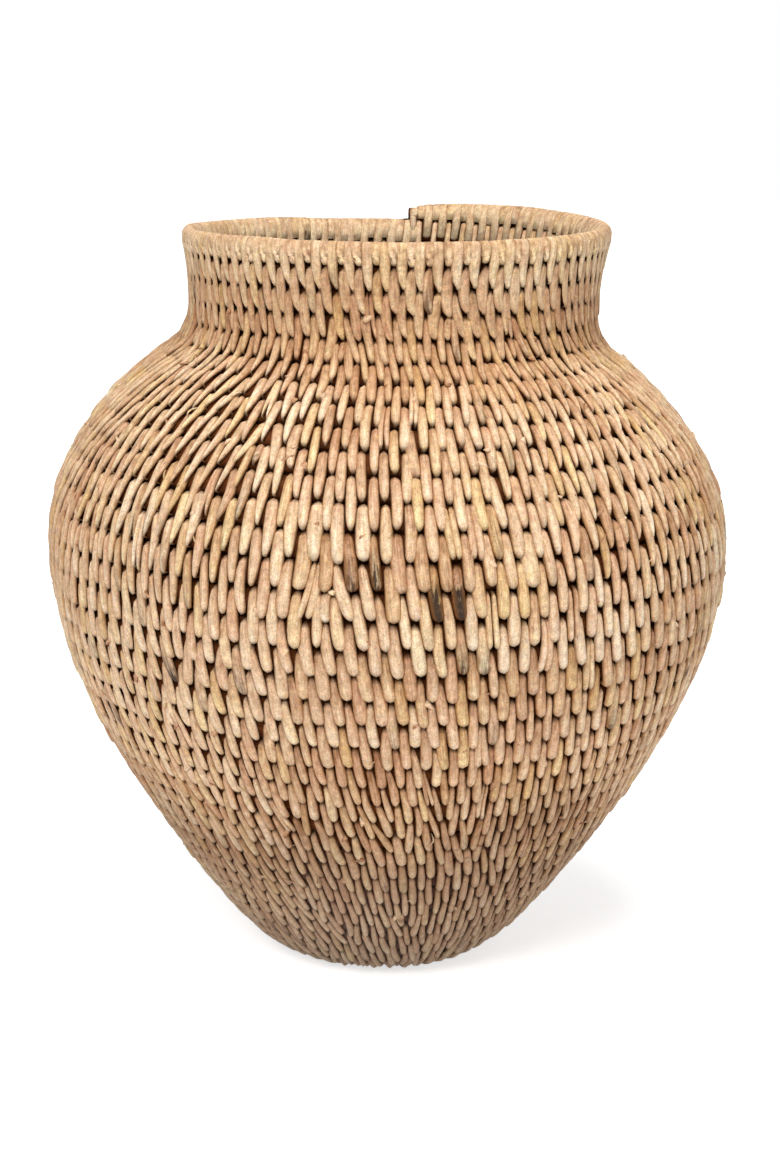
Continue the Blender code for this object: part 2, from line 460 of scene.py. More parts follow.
def plan_rim_wraps(stitches, coil):
    """A short wrap round the last turn only, between every two long stitches of the rim. The last one
    holds the cut end of the coil."""
    rim = [stitch for stitch in stitches if stitch.kind == "rim_long"]
    half_space = coil.pitch(coil.last) / 2
    wraps = [Stitch(rim[0].head_step - half_space, "rim_short", turns=1)]
    for left, right in zip(rim, rim[1:]):
        wrap = Stitch((left.crossing() + right.crossing()) / 2, "rim_short", turns=1)
        wrap.head_step = (left.head_step + right.head_step) / 2
        wraps.append(wrap)
    step = rim[-1].head_step + half_space
    while step < coil.last - END_WRAP_STEPS - half_space / 3:
        wraps.append(Stitch(step, "rim_short", turns=1))
        step += half_space
    wraps.append(Stitch(coil.last - END_WRAP_STEPS, "rim_short", turns=1))
    return wraps


def within(patch, angle, length):
    """1 in the middle of an oval patch of the wall and 0 from its border outwards."""
    away = abs(turned_by(angle, patch.angle)) / patch.reach
    off = abs(length - patch.length) / patch.half_height
    return clamp(1.4 - 1.4 * math.hypot(away, off))


def brownness(angle, length):
    """How brown the strips at a place are, from 0 to 1: the listed spots and a few more by chance."""
    place = Vector((math.cos(angle), math.sin(angle), length * 7)) * 4.5
    found = max(noise.noise(place) - 0.32, 0) * 2.2
    for degrees, spot_length, reach in BROWN_SPOTS:
        spot = Patch(math.radians(degrees), reach / BELLY_RADIUS, spot_length, reach)
        found = max(found, within(spot, angle, length))
    return min(found, 1)


def shape_stitch(stitch, coil, chance, run_tone, run_width):
    """Sets where a stitch lies, how wide and thick it is and how it is coloured."""
    foot, head = stitch.foot_step, stitch.head_step
    angle = coil.angle(foot)
    space = coil.space(foot)
    height = coil.border(foot) - coil.border(foot - STEPS_PER_TURN)
    foot_length = coil.border(foot - stitch.turns * STEPS_PER_TURN)
    head_length = coil.border(head)
    head_radius = coil.wall.at(head_length).x
    at_neck = foot_length > NECK_FROM
    opened = within(OPEN_PATCH, angle, foot_length)
    closed = max(within(CLOSE_PATCH, angle, foot_length), read_table(CLOSENESS, foot_length))
    wedge = within(WEDGE_PATCH, angle, foot_length)
    slots = within(SLOT_SIDE, angle, 0) * (1 - closed)
    pointed = read_table(POINTEDNESS, foot_length) * (1 - within(BLUNT_SIDE, angle, 0))
    brown = brownness(angle, foot_length)
    varied = 1 - 0.5 * closed

    def spread(name, middle=0):
        return chance.gauss(middle, SPREAD[name])

    breadth = run_width * spread("breadth", 1)
    rooms = stitch.rooms()
    if rooms:
        room = mix(sum(rooms) / len(rooms), max(rooms), 0.6)
        breadth *= clamp(2 * room / coil.pitch(foot), 0.7, 1.5)
    fill = mix(read_table(STRIP_FILL, foot_length), OPEN_FILL, opened) + 0.1 * closed
    fill -= SLOT_NARROWING * slots + WEDGE_NARROWING * wedge
    aside = mix(ENDS_ASIDE, 0, opened) * space / head_radius
    lean = spread("lean") * space
    if chance.random() < LEANING:
        lean += chance.choice((-1, 1)) * space * LEANS_BY
    foot_gap = mix(FOOT_GAP, OPEN_FOOT_GAP, opened) + WEDGE_GAP * wedge
    narrow_foot = mix(mix(read_table(FOOT_TAPER, foot_length), OPEN_TAPER, opened), POINTED_TAPER, pointed)
    narrow_head = read_table(HEAD_TAPER, foot_length)
    if not at_neck:
        narrow_head = mix(narrow_head, CLOSE_POINT, closed)
    skew = mix(mix(mix(SKEW, CLOSE_SKEW, closed), OPEN_SKEW, opened), POINTED_SKEW, pointed)
    values = stitch.values
    values["foot_angle"] = angle + aside
    values["head_angle"] = coil.angle(head) + aside + lean / head_radius
    values["foot_length"] = foot_length + foot_gap + spread("foot") * height
    values["head_length"] = head_length - HEAD_GAP * (1 + opened) + spread("head") * height
    values["width"] = min(space / 2 * fill * breadth, WIDEST_STRIP)
    values["thickness"] = mix(STRIP_THICKNESS, FLAT_THICKNESS, closed) * spread("thickness", 1)
    values["taper"] = clamp(narrow_foot + WEDGE_TAPER * wedge + spread("narrowing"), 0, 0.8)
    values["point"] = clamp(mix(narrow_head, OPEN_POINT, opened) + spread("narrowing"), 0, 0.7)
    values["skew"] = clamp(skew + spread("skew"), -1, 1)
    values["proud"] = mix(PROUD, OPEN_PROUD, opened) + spread("proud") * (1 - 0.7 * closed)
    if chance.random() < STANDING_PROUD:
        values["proud"] += STANDS_PROUD_BY
    values["bow"] = spread("bow") * space
    values["tone"] = (run_tone * SPREAD["tone"] + spread("tone")) * varied - BROWN_CHANGE * brown
    values["hue"] = spread("hue") + BROWN_CHANGE * brown
    values["stain"] = max(spread("stain", -0.5), 0)
    values["number"] = chance.random()
    if stitch.kind == "wall" and closed + chance.gauss(0, 0.1) > 0.5:
        stitch.kind = "wall_flat" if at_neck else "wall_close"
    elif stitch.kind == "wall" and pointed > 0.3:
        stitch.kind = "wall_pointed"
    if stitch.kind.startswith("rim"):
        near_end = max(1 - (coil.last - head) / (3 * END_WRAP_STEPS), 0)
        values["head_length"] = head_length - FLAT_THICKNESS - RIM_END_DIP * near_end ** 2
        values["width"] = space / 2 * RIM_FILL * mix(1, breadth, 0.3) * (1 - 0.4 * near_end)
        values["thickness"] = FLAT_THICKNESS * chance.gauss(1, 0.03)
        values["bow"] *= 0.4
        values["proud"] = 0.0
        # Rim strips are paler, partly from wear and partly as painted light on the rim, which faces the
        # lamps above.
        values["tone"] = values["tone"] * 0.9 + 0.6
        values["hue"] = values["hue"] * 0.4 - 0.3
    if stitch.kind == "rim_short":
        values["taper"] = 0.32
        values["skew"] = 0.5
        values["tone"] -= 0.5


def mark_odd_stitches(stitches):
    """Gives the few broad, dark or pale stitches their looks."""
    for degrees, length, breadth, tone, stain in ODD_STITCHES:

        def distance(stitch):
            away = turned_by(stitch.values["foot_angle"], math.radians(degrees))
            return math.hypot(away * BELLY_RADIUS, stitch.values["foot_length"] - length)

        values = min(stitches, key=distance).values
        values["width"] *= breadth
        values.update(tone=tone, stain=stain, proud=0.0006)


def split_lengthwise(stitch, coil, chance):
    """Parts a strip into two narrow ones and returns the second."""
    twin = Stitch(stitch.foot_step, stitch.kind, stitch.turns)
    twin.head_step = stitch.head_step
    twin.values = dict(stitch.values)
    aside = stitch.values["width"] * 0.26 / coil.wall.at(stitch.values["foot_length"]).x
    for values, way in ((stitch.values, -1), (twin.values, 1)):
        values["foot_angle"] += way * aside * chance.uniform(0.8, 1.2)
        values["head_angle"] += way * aside * chance.uniform(0.2, 1.2)
        values["foot_length"] += chance.gauss(0, 0.0008)
        values["width"] *= chance.uniform(0.52, 0.68)
        values["tone"] += chance.gauss(0, 0.45)
        values["number"] = chance.random()
        values["skew"] = 0.0
    return twin


PLAIN_STRIP = dict(taper=0.0, skew=0.0, proud=0.0, bow=0.0, stain=0.0)


def loose_end(stitch, coil, chance):
    """A cut end of strip, a splinter or a chip that sticks out beside a foot."""
    end = Stitch(stitch.foot_step, "loose_end")
    end.head_step = stitch.head_step
    given = stitch.values
    radius = coil.wall.at(given["foot_length"]).x
    beside = chance.choice((-1, 1)) * chance.uniform(0.45, 1.0) * given["width"] / radius
    way = chance.choice((-1, 1))
    if chance.random() < 0.8:
        width, reach, proud = chance.uniform(0.0022, 0.0052), chance.uniform(0.002, 0.0058), 0.0002
        tone, hue = chance.choice(((-1.1, 1.2), (0.8, 0.3)))
    else:
        width, reach, proud = chance.uniform(0.0006, 0.0014), chance.uniform(0.003, 0.008), 0.0007
        tone, hue = chance.gauss(0.4, 0.6), chance.gauss(0, 0.5)
    end.values = dict(
        PLAIN_STRIP,
        foot_angle=given["foot_angle"] + beside,
        head_angle=given["foot_angle"] + beside + chance.gauss(0, 0.5) * reach / radius,
        foot_length=given["foot_length"] + chance.uniform(-0.0012, 0.0006),
        head_length=given["foot_length"] + way * reach,
        width=way * width,
        thickness=chance.uniform(0.0005, 0.001),
        point=chance.uniform(0.2, 0.9),
        proud=proud * chance.uniform(0.2, 1.3),
        bow=chance.gauss(0, 0.2) * reach,
        tone=tone,
        hue=hue,
        number=chance.random(),
    )
    return end


def sew(coil):
    """All stitches in order, shaped, with the strips that are split and the loose ends."""
    chance = random.Random(SEED)
    stitches, short = plan_sewing(coil, chance)
    wraps = plan_rim_wraps(stitches, coil)
    every = sorted(stitches + short + wraps, key=lambda stitch: stitch.head_step)
    extra = []
    left_in_strip = 0
    for stitch in every:
        begins = left_in_strip == 0
        if begins:
            left_in_strip = chance.randint(*STITCHES_PER_STRIP)
            run_tone = chance.gauss(0, 1)
            run_width = clamp(chance.gauss(1, 0.05), 0.9, 1.1)
        left_in_strip -= 1
        shape_stitch(stitch, coil, chance, run_tone, run_width)
        if stitch.kind.startswith("rim") or stitch.foot_step < LOOSE_FROM_TURN * STEPS_PER_TURN:
            continue
        if begins or chance.random() < LOOSE:
            extra.append(loose_end(stitch, coil, chance))
        if chance.random() < SPLIT:
            extra.append(split_lengthwise(stitch, coil, chance))
    mark_odd_stitches([stitch for stitch in every if stitch.turns == 2])
    return every + extra


# Node trees


class Maker:
    """Adds nodes to a tree, each with its inputs given as sockets or plain values."""

    def __init__(self, tree):
        self.tree = tree

    def add(self, kind, inputs=None, **settings):
        node = self.tree.nodes.new(kind)
        for name, value in settings.items():
            setattr(node, name, value)
        for name, value in (inputs or {}).items():
            self.feed(node.inputs[name], value)
        return node

    def feed(self, socket, value):
        if isinstance(value, bpy.types.NodeSocket):
            self.tree.links.new(value, socket)
        else:
            socket.default_value = value

    def sum_up(self, operation, *values):
        node = self.add("ShaderNodeMath", operation=operation)
        for socket, value in zip(node.inputs, values):
            self.feed(socket, value)
        return node.outputs[0]

    def times(self, first, second, plus=None):
        """The product of two values, and the third added to it where there is one."""
        if plus is None:
            return self.sum_up("MULTIPLY", first, second)
        return self.sum_up("MULTIPLY_ADD", first, second, plus)

    def between(self, first, second, share):
        return self.times(self.sum_up("SUBTRACT", second, first), share, first)

    def vector(self, x, y, z):
        return self.add("ShaderNodeCombineXYZ", {"X": x, "Y": y, "Z": z}).outputs["Vector"]

    def parts(self, vector):
        return self.add("ShaderNodeSeparateXYZ", {"Vector": vector}).outputs

    def noise(self, place, scale, detail, roughness=0.5):
        inputs = {"Vector": place, "Scale": scale, "Detail": detail, "Roughness": roughness}
        return self.add("ShaderNodeTexNoise", inputs).outputs

    def in_range(self, value, low, high, out_low=0.0, out_high=1.0):
        inputs = {"Value": value, "From Min": low, "From Max": high, "To Min": out_low, "To Max": out_high}
        return self.add("ShaderNodeMapRange", inputs).outputs["Result"]

    def blend(self, first, second, share=1.0, kind="MULTIPLY"):
        """A colour multiplied by another, or mixed with it, by this share."""
        node = self.add("ShaderNodeMix", data_type="RGBA", blend_type=kind)
        for index, value in ((0, share), (6, first), (7, second)):
            self.feed(node.inputs[index], (*value, 1) if isinstance(value, tuple) else value)
        return node.outputs[2]

    def ramp(self, factor, stops):
        node = self.add("ShaderNodeValToRGB", {"Fac": factor})
        elements = node.color_ramp.elements
        while len(elements) < len(stops):
            elements.new(0.5)
        for element, (place, colour) in zip(elements, stops):
            element.position = place
            element.color = (*colour, 1)
        return node.outputs["Color"]

    def group(self, tree, inputs):
        return self.add(self.tree.bl_idname.replace("Tree", "Group"), inputs, node_tree=tree).outputs

    def value_of(self, name):
        """A value that the mesh carries on its points."""
        if self.tree.bl_idname == "ShaderNodeTree":
            return self.add("ShaderNodeAttribute", attribute_name=name).outputs["Fac"]
        node = self.add("GeometryNodeInputNamedAttribute", {"Name": name}, data_type="FLOAT")
        return node.outputs["Attribute"]


SOCKET_KINDS = {
    "Geometry": "Geometry", "Wall Line": "Object", "Stitch": "Object", "Section": "Object",
    "Material": "Material", "Colour": "Color",
}


def new_tree(kind, name, inputs, outputs):
    """A tree with these inputs and outputs, numbers unless listed above, and its maker and group input."""
    tree = bpy.data.node_groups.new(name, kind)
    for way, labels in (("OUTPUT", outputs), ("INPUT", inputs)):
        for label in labels:
            socket = "NodeSocket" + SOCKET_KINDS.get(label, "Float")
            tree.interface.new_socket(label, in_out=way, socket_type=socket)
    maker = Maker(tree)
    return tree, maker, maker.add("NodeGroupInput").outputs


def shape_tree(name, *inputs):
    """A geometry tree with these inputs after its geometry, and its maker and group input."""
    return new_tree("GeometryNodeTree", name, ("Geometry", *inputs), ("Geometry",))


def wall_place_group():
    """Sets every point at an angle about the axis, a length along the wall and a distance outwards."""
    inputs = "Wall Line", "Angle", "Length", "Outwards", "Arc", "Uneven Distance", "Uneven Scale"
    tree, maker, given = shape_tree("place_on_wall", *inputs)
    times = maker.times
    line = maker.add("GeometryNodeObjectInfo", {"Object": given["Wall Line"]}).outputs["Geometry"]
    sampled = {"Curves": line, "Length": given["Length"]}
    sampled = maker.add("GeometryNodeSampleCurve", sampled, mode="LENGTH")
    place, way = maker.parts(sampled.outputs["Position"]), maker.parts(sampled.outputs["Tangent"])
    radius = times(way["Z"], given["Outwards"], place["X"])
    height = times(way["X"], times(given["Outwards"], -1), place["Z"])
    turned = maker.sum_up("DIVIDE", given["Arc"], maker.sum_up("MAXIMUM", radius, LEAST_RADIUS))
    angle = maker.sum_up("ADD", given["Angle"], turned)
    cosine, sine = maker.sum_up("COSINE", angle), maker.sum_up("SINE", angle)
    position = maker.vector(times(radius, cosine), times(radius, sine), height)
    placed = maker.add("GeometryNodeSetPosition", {"Geometry": given["Geometry"], "Position": position})
    stray = maker.noise(position, given["Uneven Scale"], 1.0)["Color"]
    centred = maker.add("ShaderNodeVectorMath", {0: stray, 1: (0.5, 0.5, 0.5)}, operation="SUBTRACT")
    above_base = maker.sum_up("MINIMUM", maker.sum_up("DIVIDE", height, UNEVEN_FROM), 1)
    reach = times(given["Uneven Distance"], times(above_base, 2))
    offset = maker.add("ShaderNodeVectorMath", {0: centred.outputs[0], "Scale": reach}, operation="SCALE")
    moved = {"Geometry": placed.outputs["Geometry"], "Offset": offset.outputs["Vector"]}
    moved = maker.add("GeometryNodeSetPosition", moved)
    maker.add("NodeGroupOutput", {"Geometry": moved.outputs["Geometry"]})
    return tree


def finish_on_wall(maker, group, given, geometry, places):
    """Places the geometry on the wall by its angle, length, outwards and arc, and gives it its material."""
    inputs = dict(zip(("Angle", "Length", "Outwards", "Arc"), places))
    inputs.update({"Geometry": geometry, "Wall Line": given["Wall Line"]})
    inputs.update({"Uneven Distance": UNEVEN_DISTANCE, "Uneven Scale": UNEVEN_SCALE})
    geometry = maker.group(group, inputs)["Geometry"]
    geometry = maker.add("GeometryNodeSetShadeSmooth", {"Geometry": geometry}).outputs["Geometry"]
    geometry = maker.add("GeometryNodeRealizeInstances", {"Geometry": geometry}).outputs["Geometry"]
    dressed = maker.add("GeometryNodeSetMaterial", {"Geometry": geometry, "Material": given["Material"]})
    maker.add("NodeGroupOutput", {"Geometry": dressed.outputs["Geometry"]})


def sewing_tree(group):
    """A stitch on every point, bent over the coil by the values that the point carries."""
    tree, maker, given = shape_tree("sewing", "Wall Line", "Stitch", "Rods Half Thickness", "Material")
    own, times = maker.value_of, maker.times
    stitch = maker.add("GeometryNodeObjectInfo", {"Object": given["Stitch"]}).outputs["Geometry"]
    copies = maker.add("GeometryNodeInstanceOnPoints", {"Points": given["Geometry"], "Instance": stitch})
    loose = maker.add("GeometryNodeRealizeInstances", {"Geometry": copies.outputs["Instances"]})
    share, thickness = own("share"), own("thickness")
    length = maker.between(own("foot_length"), own("head_length"), share)
    length = times(own("lift_up"), thickness, length)
    outwards = times(own("lift_out"), thickness, times(own("depth"), given["Rods Half Thickness"]))
    outwards = times(own("raised"), own("proud"), outwards)
    angle = maker.between(own("foot_angle"), own("head_angle"), share)
    half_width = times(own("width"), 0.5)
    pinch = times(own("head_end"), own("point"), times(own("foot_end"), own("taper")))
    left_over = times(half_width, maker.sum_up("SUBTRACT", 1, pinch))
    arc = times(own("across"), left_over, times(times(pinch, half_width), own("skew")))
    arc = times(own("bow"), maker.sum_up("SINE", times(share, math.pi)), arc)
    finish_on_wall(maker, group, given, loose.outputs["Geometry"], (angle, length, outwards, arc))
    return tree


def rods_tree(group):
    """The bundle of rods swept along the coil, its section as high as the coil is there."""
    inputs = "Wall Line", "Section", "Rods Half Thickness", "Seam", "Material"
    tree, maker, given = shape_tree("foundation_rods", *inputs)
    own, times = maker.value_of, maker.times
    section = maker.add("GeometryNodeObjectInfo", {"Object": given["Section"]}).outputs["Geometry"]
    path = maker.add("GeometryNodeMeshToCurve", {"Mesh": given["Geometry"]}).outputs["Curve"]
    profile = maker.add("GeometryNodeMeshToCurve", {"Mesh": section}).outputs["Curve"]
    swept = {"Curve": path, "Profile Curve": profile, "Fill Caps": True}
    swept = maker.add("GeometryNodeCurveToMesh", swept).outputs["Mesh"]
    lower, upper = own("lower"), own("upper")
    high = maker.sum_up("SUBTRACT", maker.sum_up("SUBTRACT", upper, lower), given["Seam"])
    half_height = maker.sum_up("MAXIMUM", times(high, 0.5), LEAST_HALF_HEIGHT)
    length = times(own("rise"), half_height, times(maker.sum_up("ADD", upper, lower), 0.5))
    outwards = times(own("depth"), given["Rods Half Thickness"])
    finish_on_wall(maker, group, given, swept, (own("angle"), length, outwards, 0.0))
    return tree


# Meshes that carry values


def mesh_object(name, points, edges, faces, values):
    """A mesh with one value of each name on every point."""
    mesh = bpy.data.meshes.new(name)
    mesh.from_pydata(points, edges, faces)
    for label, row in values.items():
        layer = mesh.attributes.new(label, "FLOAT", "POINT")
        layer.data.foreach_set("value", row)
    thing = bpy.data.objects.new(name, mesh)
    bpy.context.scene.collection.objects.link(thing)
    return thing


def made_by(thing, tree, inputs):
    """Runs a tree on the object and leaves the result as its plain mesh."""
    modifier = thing.modifiers.new(tree.name, "NODES")
    modifier.node_group = tree
    for item in tree.interface.items_tree:
        if item.item_type == "SOCKET" and item.in_out == "INPUT" and item.name in inputs:
            modifier[item.identifier] = inputs[item.name]
    graph = bpy.context.evaluated_depsgraph_get()
    evaluated = thing.evaluated_get(graph)
    mesh = bpy.data.meshes.new_from_object(evaluated, preserve_all_data_layers=True, depsgraph=graph)
    thing.modifiers.clear()
    thing.data = mesh
    mesh.name = thing.name
    return thing


# A ring of points round a strip. Its direction is in degrees, from straight out of the wall upwards.
Ring = namedtuple(
    "Ring", "share depth direction width thickness foot_end head_end raised", defaults=(0.0, 0.0, 0.0)
)

# Sections of strips: flat below, round above, as shares of half the width and of the thickness
ROUND_STRIP = ((1, 0.08), (0.72, 0.74), (0, 1.2), (-0.72, 0.74), (-1, 0.08))
FLAT_STRIP = ((1, 0.50), (0.6, 0.90), (0, 1.03), (-0.6, 0.90), (-1, 0.50))


def strip_template(name, rings, section, edge=1.0, closed=True):
    """A strip whose points carry their places, so that a tree can bend it over the wall. A closed one is
    a loop through the wall: up the outside, over the coil and down the inside. The edge value says how
    dark the painted shade along its edges is. The parts inside the wall and the turned-in foot carry
    painted shade as well."""
    labels = "share depth foot_end head_end raised lift_up lift_out across side buried".split()
    rows = []
    for ring in rings:
        direction = math.radians(ring.direction)
        up, out = math.sin(direction), math.cos(direction)
        # Painted shade: the parts of the loop inside the wall and the foot's turned-in end are marked to be
        # darkened in the material.
        inside = clamp(2.4 * (0.8 - abs(ring.depth))) * max(ring.foot_end, ring.head_end)
        buried = max(inside, max(-up, 0) * ring.foot_end)
        own = (ring.share, ring.depth, ring.foot_end, ring.head_end, ring.raised)
        for across, lift in section:
            lift *= ring.thickness
            rows.append((*own, lift * up, lift * out, across * ring.width, across * edge, buried))
    values = dict(zip(labels, zip(*rows)))
    sides = len(section)
    count = len(rings) * sides
    faces = []
    for start in range(0, count if closed else count - sides, sides):
        for side in range(sides):
            after = (side + 1) % sides
            above = (start + sides) % count
            faces.append((start + side, start + after, above + after, above + side))
    if not closed:
        faces.append(tuple(reversed(range(sides))))
        faces.append(tuple(range(count - sides, count)))
    thing = mesh_object(name, [(0, 0, 0)] * count, [], faces, values)
    thing.data.shade_smooth()
    return thing


def wall_stitch_rings(relief, long_foot, long_head):
    """A stitch in the wall: a foot that stands proud, a broad middle and a head that dives in. The relief
    says how far the foot stands above the head, the other two how far up and down the ends narrow."""
    proud, sunk = 0.15 * relief, 0.20 * relief
    thin = 0.6 * long_foot
    foot_a, foot_b, foot_c, foot_d = (
        mix(short, long, long_foot) for short, long in ((0.75, 0.96), (0.35, 0.86), (0.04, 0.5), (0, 0.07))
    )
    head_a, head_b, head_c, head_d = (
        mix(short, long, long_head) for short, long in ((0, 0.15), (0.08, 0.55), (0.5, 0.85), (1.0, 1.1))
    )
    return (
        Ring(0.000, 0.45, -85, 0.55, 0.8 - thin, 1.0, 0.0, 0.3),
        Ring(0.002, 1.0 + 0.4 * proud, -45, 0.78, 1.0 - thin, 1.0, 0.0, 0.8),
        Ring(0.030, 1.0 + proud, -10, 0.94, 1.0 - 0.7 * thin, foot_a, 0.0, 1.0),
        Ring(0.100, 1.0 + proud, 0, 1.00, 1.0 - 0.3 * thin, foot_b, 0.0, 1.0),
        Ring(0.280, 1.0 + 0.8 * proud, 0, 1.00, 1.0, foot_c, 0.0, 0.8),
        Ring(0.520, 1.0, 0, 1.00, 1.0, foot_d, head_a, 0.4),
        Ring(0.780, 1.0 - 0.5 * sunk, 3, 1.00, 1.0, 0.0, head_b, 0.1),
        Ring(0.910, 1.0 - sunk, 16, 0.97, 0.95, 0.0, head_c),
        Ring(0.970, 0.45, 45, 0.78, 0.85, 0.0, head_d),
        Ring(0.995, -0.20, 95, 0.48, 0.6, 0.0, 1.0),
        Ring(0.925, -0.98, 165, 0.74, 0.9, 0.0, 0.4),
        Ring(0.060, -1.04, 190, 0.84, 1.0, 0.5, 0.0),
    )


def rim_stitch_rings(turns):
    """A stitch that goes over the rim as well, as broad there as below, taking in this many turns."""
    half_coil = 0.5 / turns
    crown = 1 - half_coil
    rings = [
        Ring(0.000, 0.70, -75, 0.60, 0.8, 1.0, 0.0, 0.3),
        Ring(0.000, 1.02, -42, 0.78, 1.0, 1.0, 0.0, 0.7),
        Ring(0.042 * 2 / turns, 1.07, -4, 0.84, 1.0, 0.8, 0.0, 0.8),
        Ring(0.180 * 2 / turns, 1.06, 0, 0.88, 1.0, 0.3, 0.0, 0.6),
    ]
    if turns > 1:
        rings.append(Ring(0.45, 1.05, 0, 0.90, 1.0, 0.0, 0.0, 0.4))
    rings.append(Ring(crown - half_coil * 0.3, 1.04, 0, 0.95, 1.0, 0.0, 0.0, 0.2))
    for degrees in (30, 60, 90, 120, 150):
        around = math.radians(degrees)
        width = 0.95 + 0.05 * math.sin(around)
        lift = 1 - 0.3 * math.sin(around)
        rise = crown + half_coil * math.sin(around)
        rings.append(Ring(rise, math.cos(around), degrees, width, lift))
    rings.append(Ring(crown - half_coil * 0.3, -1.03, 180, 0.9, 1.0, 0.0, 0.0, 0.2))
    rings.append(Ring(0.06 if turns > 1 else -0.22, -1.00, 185, 0.92, 1.0, 0.3, 0.0))
    return rings


def loose_end_rings():
    """A flat scrap that starts deep beside a foot and comes out over its neighbours."""
    return (
        Ring(0.00, 0.40, 0.0, 0.8, 1.0),
        Ring(0.22, 1.15, 0.0, 1.0, 1.0, 0.0, 0.0, 0.1),
        Ring(0.48, 1.50, 0.0, 1.0, 1.0, 0.0, 0.1, 0.4),
        Ring(0.75, 1.64, 0.0, 0.95, 1.0, 0.0, 0.5, 0.8),
        Ring(1.00, 1.66, 0.0, 0.80, 0.8, 0.0, 1.0, 1.0),
    )


def rod_section():
    """Closed outline of the bundle, grooved between its rods, in shares of its half sizes."""
    rise, depth = [], []
    for side in range(RODS_SIDES):
        angle = side * math.tau / RODS_SIDES
        groove = 1 - ROD_GROOVE * (0.5 - 0.5 * math.cos(angle * RODS_AROUND))
        rise.append(math.sin(angle) * groove)
        depth.append(math.cos(angle) * groove)
    points = [(x, y, 0) for x, y in zip(depth, rise)]
    edges = [(side, (side + 1) % RODS_SIDES) for side in range(RODS_SIDES)]
    return mesh_object("rod_section", points, edges, [], {"rise": rise, "depth": depth})


# Pieces


def rods_of(coil, first, last, name, inputs, tree):
    """The foundation rods of one length."""
    count = round((last - first) / RODS_STEP_SHARE)
    steps = [first + number * RODS_STEP_SHARE for number in range(count)] + [last]
    under_wraps = coil.last - STEPS_PER_TURN
    values = {
        "angle": [coil.angle(step) for step in steps],
        "lower": [coil.border(step - STEPS_PER_TURN) for step in steps],
        "upper": [coil.border(step) - (STRIP_THICKNESS if step > under_wraps else 0) for step in steps],
        "run": [float(step) for step in steps],
    }
    points = [(0.001 * number, 0, 0) for number in range(len(steps))]
    edges = [(number, number + 1) for number in range(len(steps) - 1)]
    thing = mesh_object(name, points, edges, [], values)
    return made_by(thing, tree, inputs)


def stitches_of(stitches, name, inputs, tree):
    """The given stitches, all of one kind, as one piece."""
    labels = stitches[0].values.keys()
    values = {label: [stitch.values[label] for stitch in stitches] for label in labels}
    thing = mesh_object(name, [(0, 0, 0)] * len(stitches), [], [], values)
    return made_by(thing, tree, inputs)


def joined(name, things):
    """One plain mesh object from several."""
    first = things[0]
    if len(things) > 1:
        with bpy.context.temp_override(
            active_object=first, object=first, selected_editable_objects=things, selected_objects=things
        ):
            bpy.ops.object.join()
    first.name = name
    first.data.name = name
    return first


def take_place(piece, node):
    """The piece rides on the pot and is shown in place of the node."""
    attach(piece, "root")
    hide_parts(node)


# Materials


def grain_group():
    """Fine fibres that run along a strip or rod: streaks for its colour and a height for its relief."""
    inputs, outputs = ("Along", "Across", "Number", "Fineness"), ("Streaks", "Height", "Specks")
    tree, maker, given = new_tree("ShaderNodeTree", "fibre_grain", inputs, outputs)
    apart = maker.times(given["Number"], 57.0)

    def fibre_noise(across_scale, along_scale, *settings):
        across, along = maker.times(given["Across"], across_scale), maker.times(given["Along"], along_scale)
        return maker.noise(maker.vector(across, along, apart), 1.0, *settings)["Fac"]

    fine = fibre_noise(given["Fineness"], 2.2, 3.0, 0.6)
    broad = fibre_noise(1.3, 5.0, 2.0)
    specks = maker.in_range(fibre_noise(3.5, 9.0, 1.0), 0.56, 0.74)
    streaks = maker.between(fine, broad, 0.4)
    maker.add("NodeGroupOutput", {"Streaks": streaks, "Height": fine, "Specks": specks})
    return tree


def mottle_group():
    """Blotches a few millimetres wide that drift between pinkish, golden, lighter and darker fibre."""
    tree, maker, given = new_tree("ShaderNodeTree", "fibre_mottle", ("Colour", "Scale"), ("Colour",))
    place = maker.add("ShaderNodeTexCoord").outputs["Object"]
    clouds = maker.noise(place, given["Scale"], 2.0, 0.6)["Color"]
    parts = maker.add("ShaderNodeSeparateColor", {"Color": clouds}).outputs
    grit = maker.noise(place, maker.times(given["Scale"], 4.3), 1.0)["Fac"]
    colour = maker.blend(given["Colour"], (0.97, 0.87, 0.85), maker.in_range(parts["Red"], 0.52, 0.72))
    colour = maker.blend(colour, (1.0, 0.98, 0.82), maker.in_range(parts["Red"], 0.48, 0.28))
    colour = maker.blend(colour, maker.in_range(parts["Green"], 0.3, 0.7, 0.82, 1.13))
    colour = maker.blend(colour, maker.in_range(grit, 0.3, 0.7, 0.81, 1.16))
    maker.add("NodeGroupOutput", {"Colour": colour})
    return tree


DUST_COLOUR = (0.36, 0.31, 0.28)

# Dust, wear and painted shade of the pot by height, as shares of the height that it is given for. Low on
# the wall it is darker, partly dust and partly painted shade where the wall faces down, and it is darker at
# the neck too.
DUST_AND_SHADE_HEIGHT = 0.42
DUST_AND_SHADE = (
    (0.00, (1.0, 0.98, 0.98)), (0.09, (0.83, 0.775, 0.745)), (0.20, (0.66, 0.605, 0.585)),
    (0.34, (0.99, 0.955, 0.960)), (0.52, (0.98, 0.960, 0.980)), (0.62, (0.95, 0.945, 0.965)),
    (0.73, (0.95, 0.950, 0.970)), (0.79, (0.81, 0.730, 0.665)), (0.87, (0.82, 0.740, 0.675)),
    (0.93, (0.97, 0.970, 0.970)),
)


